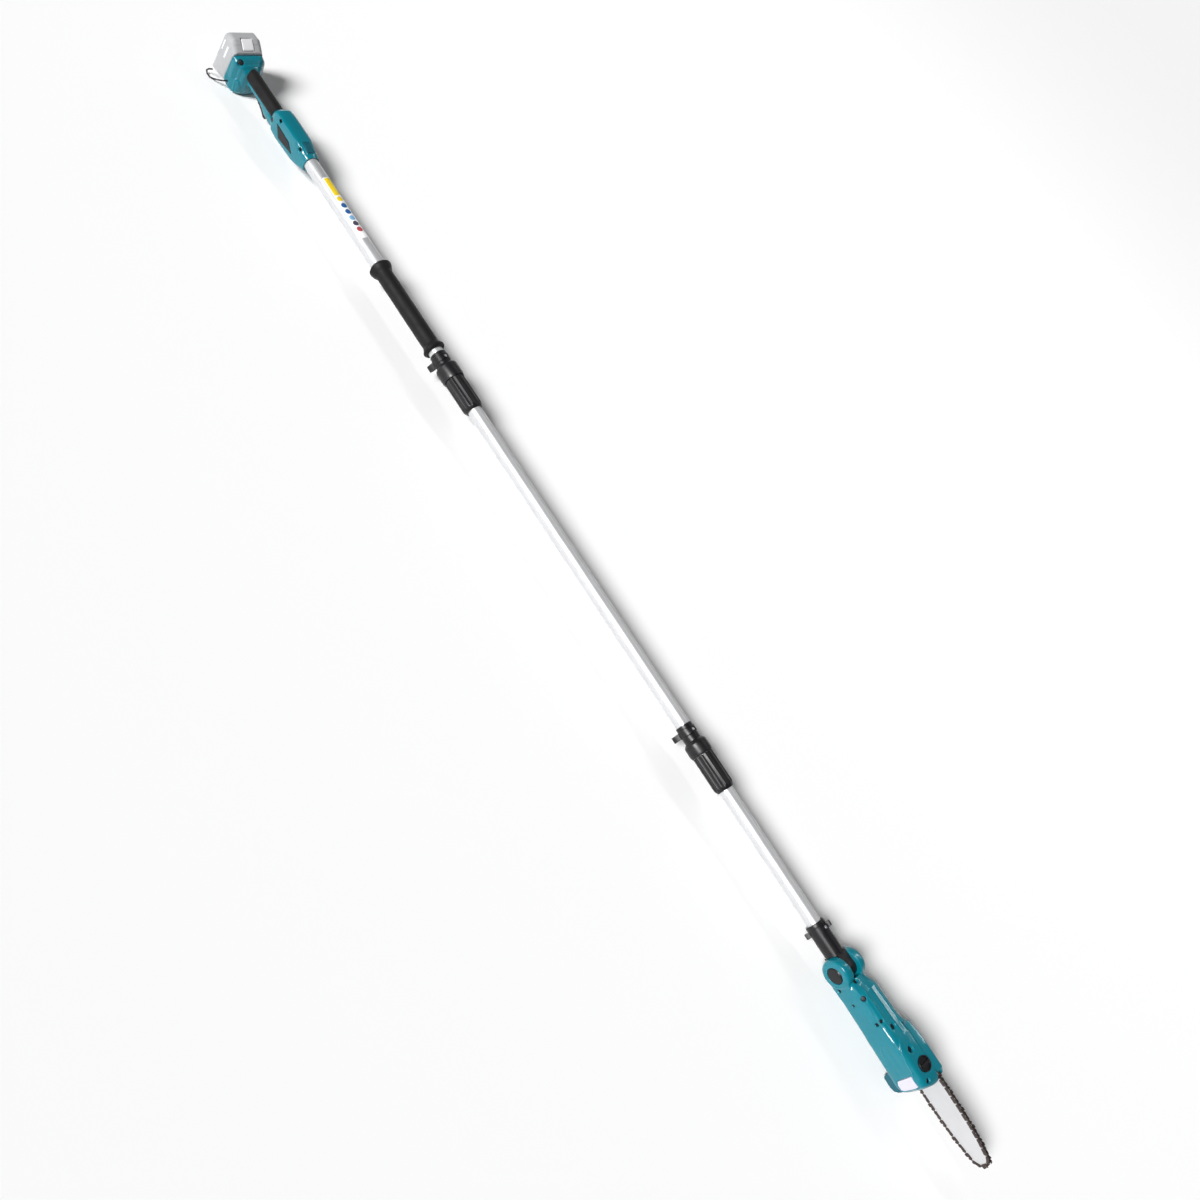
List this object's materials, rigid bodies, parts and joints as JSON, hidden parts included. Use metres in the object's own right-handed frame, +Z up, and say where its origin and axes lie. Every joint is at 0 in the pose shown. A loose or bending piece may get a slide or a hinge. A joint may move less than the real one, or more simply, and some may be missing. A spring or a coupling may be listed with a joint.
{
  "type": "telescoping pole saw",
  "caption": "Cordless pole saw: battery and trigger handle, three telescoping tubes with twist locks, and a tilting head with oil tank, guide bar and chain.",
  "frame": {"origin": "middle of the footprint, on the floor the tool lies on", "axes": "+Y along the pole from the battery towards the saw head, +X to the tool's right, +Z up"},
  "size_m": [0.1004, 2.7038, 0.1041],
  "materials": {
    "teal_plastic": "glossy moulded",
    "grip_rubber": "matt",
    "black_plastic": "fine grain",
    "lead_rubber": "matt",
    "battery_grey": "fine grain",
    "pale_plastic": "smooth",
    "tube_silver": "satin anodised",
    "bright_steel": "machined",
    "bar_steel": "matt",
    "chain_steel": "oiled",
    "winding_copper": "lacquered wire",
    "cell_sleeve": "shrink sleeve",
    "board_green": "lacquered",
    "oil_window": "milky translucent"
  },
  "bodies": {
    "rear_handle": {"rear_housing_left": "teal_plastic", "rear_housing_right": "teal_plastic", "grip_sleeve": "grip_rubber", "side_inlay_left": "black_plastic", "side_inlay_right": "black_plastic", "housing_screw_1": "bright_steel", "housing_screw_2": "bright_steel", "main_switch": "black_plastic", "control_board": "board_green", "terminal_block": "black_plastic", "rear_tube": "tube_silver", "foam_grip": "grip_rubber", "rear_collar_base": "black_plastic", "rear_collar_screw": "bright_steel", "rear_collet": "pale_plastic", "supply_lead_rear": "lead_rubber"},
    "battery": {"battery_case": "battery_grey", "battery_rail_plate": "battery_grey", "battery_cells": "cell_sleeve"},
    "battery_latch": {"battery_latch_button": "pale_plastic"},
    "trigger_lever": {"trigger": "black_plastic"},
    "lock_off": {"lock_off_button": "black_plastic"},
    "power_switch": {"power_button": "teal_plastic"},
    "hanging_hook": {"wire_hook": "bright_steel"},
    "rear_nut": {"rear_lock_nut": "black_plastic"},
    "middle_pole": {"middle_tube": "tube_silver", "middle_guide_bush": "black_plastic", "front_collar_base": "black_plastic", "front_collar_screw": "bright_steel", "front_collet": "pale_plastic"},
    "front_nut": {"front_lock_nut": "black_plastic"},
    "front_pole": {"front_tube": "tube_silver", "front_guide_bush": "black_plastic", "yoke": "black_plastic", "yoke_screw": "bright_steel", "hinge_bolt": "bright_steel", "supply_lead_front": "lead_rubber"},
    "saw_head": {"head_housing_left": "teal_plastic", "head_housing_right": "teal_plastic", "hinge_cap": "black_plastic", "motor_stator": "winding_copper", "motor_bearing": "bright_steel", "shaft_bearing": "bright_steel", "oil_pump": "black_plastic", "guide_bar": "bar_steel", "saw_chain": "chain_steel", "sprocket_cover": "teal_plastic", "bar_stud": "bright_steel", "bar_nut": "bright_steel", "tension_screw": "bright_steel", "oil_tank": "oil_window", "branch_hook": "teal_plastic"},
    "tilt_lock": {"tilt_lock_button": "black_plastic"},
    "motor": {"motor_rotor": "bright_steel", "bevel_pinion": "bright_steel"},
    "drive": {"bevel_gear": "bright_steel", "sprocket_shaft": "bright_steel", "drive_sprocket": "bright_steel"},
    "filler_cap": {"oil_cap": "black_plastic"}
  },
  "joints": [
    {"name": "battery_slide", "type": "slide", "parent": "rear_handle", "child": "battery", "axis": [0, 0.1253, 0.9921], "range_m": [0, 0.12]},
    {"name": "battery_latch_press", "type": "slide", "parent": "battery", "child": "battery_latch", "axis": [0, -0.6248, -0.7808], "range_m": [0, 0.0025], "stiffness_N_per_m": 600, "springref_m": -0.002},
    {"name": "trigger_pull", "type": "hinge", "parent": "rear_handle", "child": "trigger_lever", "pos_m": [-0.01185, -1.17509, 0.0376], "axis": [1, 0, 0], "range_deg": [-4, 0], "stiffness_Nm_per_rad": 1, "springref_deg": 5.73},
    {"name": "lock_off_press", "type": "slide", "parent": "rear_handle", "child": "lock_off", "axis": [-1, 0, 0], "range_m": [0, 0.005], "stiffness_N_per_m": 300, "springref_m": -0.003},
    {"name": "power_button_press", "type": "slide", "parent": "rear_handle", "child": "power_switch", "axis": [0, 0, -1], "range_m": [0, 0.001], "stiffness_N_per_m": 1500, "springref_m": -0.001},
    {"name": "hanging_hook_swing", "type": "hinge", "parent": "rear_handle", "child": "hanging_hook", "pos_m": [0.02815, -1.29009, 0.0176], "axis": [1, 0, 0], "range_deg": [-90, 0]},
    {"name": "rear_nut_twist", "type": "hinge", "parent": "rear_handle", "child": "rear_nut", "pos_m": [-0.01185, -0.38309, 0.0536], "axis": [0, 1, 0], "range_deg": [-120, 0]},
    {"name": "middle_pole_slide", "type": "slide", "parent": "rear_handle", "child": "middle_pole", "axis": [0, 1, 0], "range_m": [-0.47, 0]},
    {"name": "front_nut_twist", "type": "hinge", "parent": "middle_pole", "child": "front_nut", "pos_m": [-0.01185, 0.51791, 0.0536], "axis": [0, 1, 0], "range_deg": [-120, 0]},
    {"name": "front_pole_slide", "type": "slide", "parent": "middle_pole", "child": "front_pole", "axis": [0, 1, 0], "range_m": [-0.27, 0]},
    {"name": "head_tilt", "type": "hinge", "parent": "front_pole", "child": "saw_head", "pos_m": [-0.01185, 0.93791, 0.0536], "axis": [1, 0, 0], "range_deg": [-60, 30]},
    {"name": "tilt_lock_press", "type": "slide", "parent": "saw_head", "child": "tilt_lock", "axis": [-1, 0, 0], "range_m": [0, 0.004], "stiffness_N_per_m": 600, "springref_m": -0.003},
    {"name": "motor_spin", "type": "hinge", "parent": "saw_head", "child": "motor", "pos_m": [-0.01185, 1.02191, 0.0536], "axis": [0, 1, 0], "continuous": true},
    {"name": "sprocket_spin", "type": "hinge", "parent": "saw_head", "child": "drive", "pos_m": [-0.01185, 1.10691, 0.0536], "axis": [1, 0, 0], "continuous": true},
    {"name": "oil_cap_turn", "type": "hinge", "parent": "saw_head", "child": "filler_cap", "pos_m": [-0.01135, 1.14041, 0.0896], "axis": [0, 0, 1], "range_deg": [0, 90]}
  ],
  "couplings": [
    {"joint": "sprocket_spin", "follows": "motor_spin", "ratio": 0.5}
  ]
}
